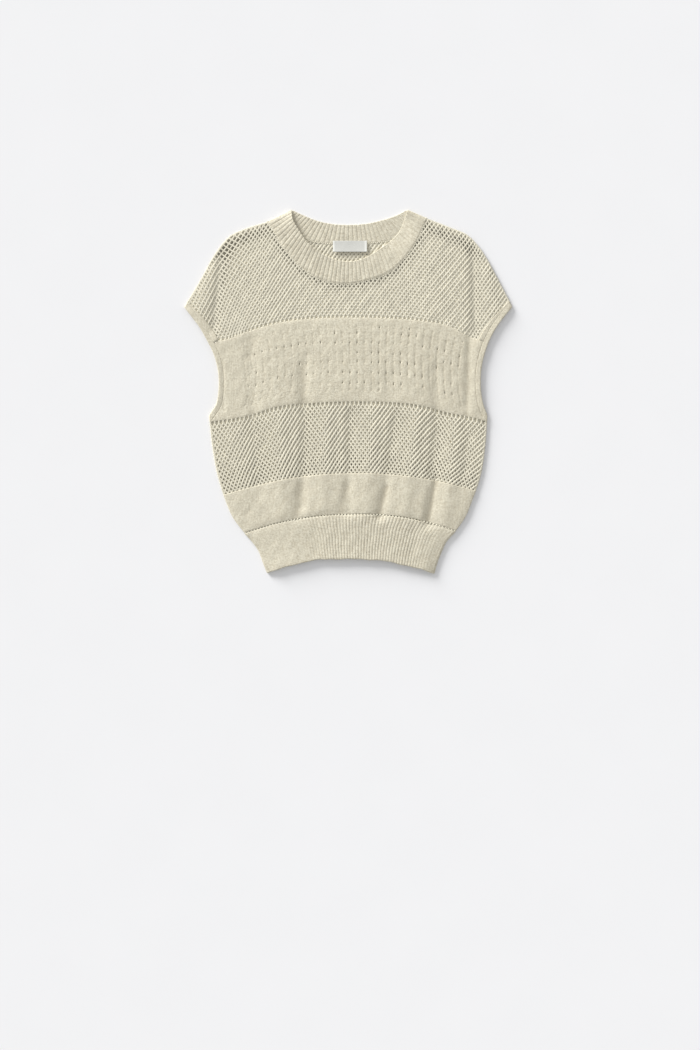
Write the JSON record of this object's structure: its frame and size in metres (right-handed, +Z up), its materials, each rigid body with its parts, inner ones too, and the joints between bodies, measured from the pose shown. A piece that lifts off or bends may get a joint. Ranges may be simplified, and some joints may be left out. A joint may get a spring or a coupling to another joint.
{
  "type": "knitted sleeveless top laid flat",
  "caption": "Cap-shouldered knitted top laid flat, front up, with a ribbed crew neckband, open mesh bands, plain bands and a ribbed hem.",
  "frame": {"origin": "middle of the garment's box at the height of the surface that it lies on", "axes": "+X to the right of the front as seen from above, +Y from the hem to the neck, +Z up out of the front"},
  "size_m": [0.519, 0.5752, 0.0081],
  "materials": {
    "cream_mesh_knit": "matt cotton yarn in an open diamond mesh and fine plain knit",
    "cream_rib": "matt cotton yarn in one by one rib",
    "cream_knit": "matt cotton yarn in fine plain knit",
    "label_satin": "pale grey satin weave"
  },
  "bodies": {
    "root": {"front_panel": "cream_mesh_knit", "back_panel": "cream_mesh_knit", "neckband": "cream_rib", "hem_rib": "cream_rib", "armhole_band_left": "cream_knit", "armhole_band_right": "cream_knit", "neck_label": "label_satin"}
  },
  "joints": []
}
